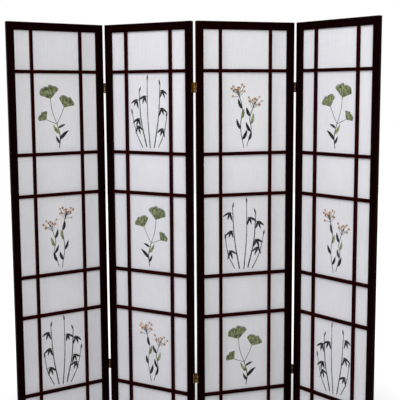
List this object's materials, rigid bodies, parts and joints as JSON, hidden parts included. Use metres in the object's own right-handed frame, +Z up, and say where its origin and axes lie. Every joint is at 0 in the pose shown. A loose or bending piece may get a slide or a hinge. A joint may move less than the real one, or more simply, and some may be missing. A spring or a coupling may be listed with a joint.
{
  "type": "folding screen",
  "caption": "Free-standing folding screen: dark wooden lattice panels backed with pale cloth, hinged edge to edge so that they stand in a zigzag or fold flat.",
  "frame": {"origin": "on the floor, in the middle of the ground that the standing screen covers", "axes": "+X across the screen to the viewer's right, +Y to its back (the bars and the front face -Y), +Z up along the panels"},
  "size_m": [1.5012, 0.4345, 1.803],
  "materials": {
    "frame_wood": "dark cherry stain, satin lacquer",
    "bar_wood": "dark cherry stain, satin lacquer",
    "cloth": "white slubbed cloth, stretched",
    "embroidery_dark": "charcoal thread, satin stitch",
    "embroidery_green": "leaf green thread, satin stitch",
    "embroidery_rust": "soft rust thread, satin stitch",
    "hinge_brass": "brushed, lightly aged",
    "pin_brass": "polished by wear",
    "screw_brass": "bright"
  },
  "bodies": {
    "panel_1": {"panel_1_left_stile": "frame_wood", "panel_1_right_stile": "frame_wood", "panel_1_top_rail": "frame_wood", "panel_1_bottom_rail": "frame_wood", "panel_1_left_bar": "bar_wood", "panel_1_right_bar": "bar_wood", "panel_1_cross_bars": "bar_wood", "panel_1_cloth": "cloth", "panel_1_back_strips": "frame_wood", "left_fold_upper_leaf_1": "hinge_brass", "left_fold_lower_leaf_1": "hinge_brass", "left_fold_pins": "pin_brass", "left_fold_screws_1": "screw_brass"},
    "panel_2": {"panel_2_left_stile": "frame_wood", "panel_2_right_stile": "frame_wood", "panel_2_top_rail": "frame_wood", "panel_2_bottom_rail": "frame_wood", "panel_2_left_bar": "bar_wood", "panel_2_right_bar": "bar_wood", "panel_2_cross_bars": "bar_wood", "panel_2_cloth": "cloth", "panel_2_back_strips": "frame_wood", "middle_fold_upper_leaf_2": "hinge_brass", "middle_fold_lower_leaf_2": "hinge_brass", "middle_fold_pins": "pin_brass", "middle_fold_screws_2": "screw_brass", "left_fold_upper_leaf_2": "hinge_brass", "left_fold_lower_leaf_2": "hinge_brass", "left_fold_screws_2": "screw_brass"},
    "panel_3": {"panel_3_left_stile": "frame_wood", "panel_3_right_stile": "frame_wood", "panel_3_top_rail": "frame_wood", "panel_3_bottom_rail": "frame_wood", "panel_3_left_bar": "bar_wood", "panel_3_right_bar": "bar_wood", "panel_3_cross_bars": "bar_wood", "panel_3_cloth": "cloth", "panel_3_back_strips": "frame_wood", "right_fold_upper_leaf_3": "hinge_brass", "right_fold_lower_leaf_3": "hinge_brass", "right_fold_pins": "pin_brass", "right_fold_screws_3": "screw_brass", "middle_fold_upper_leaf_3": "hinge_brass", "middle_fold_lower_leaf_3": "hinge_brass", "middle_fold_screws_3": "screw_brass"},
    "panel_4": {"panel_4_left_stile": "frame_wood", "panel_4_right_stile": "frame_wood", "panel_4_top_rail": "frame_wood", "panel_4_bottom_rail": "frame_wood", "panel_4_left_bar": "bar_wood", "panel_4_right_bar": "bar_wood", "panel_4_cross_bars": "bar_wood", "panel_4_cloth": "cloth", "panel_4_back_strips": "frame_wood", "right_fold_upper_leaf_4": "hinge_brass", "right_fold_lower_leaf_4": "hinge_brass", "right_fold_screws_4": "screw_brass"}
  },
  "joints": [
    {"name": "left_fold", "type": "hinge", "parent": "panel_2", "child": "panel_1", "pos_m": [-0.37533, 0.20399, 0.9], "axis": [0, 0, 1], "range_deg": [-63.5, 116.5]},
    {"name": "middle_fold", "type": "hinge", "parent": "panel_2", "child": "panel_3", "pos_m": [0.02116, 0.00149, 0.9], "axis": [0, 0, 1], "range_deg": [-47, 133]},
    {"name": "right_fold", "type": "hinge", "parent": "panel_3", "child": "panel_4", "pos_m": [0.45108, 0.11713, 0.9], "axis": [0, 0, -1], "range_deg": [-67, 113]}
  ]
}
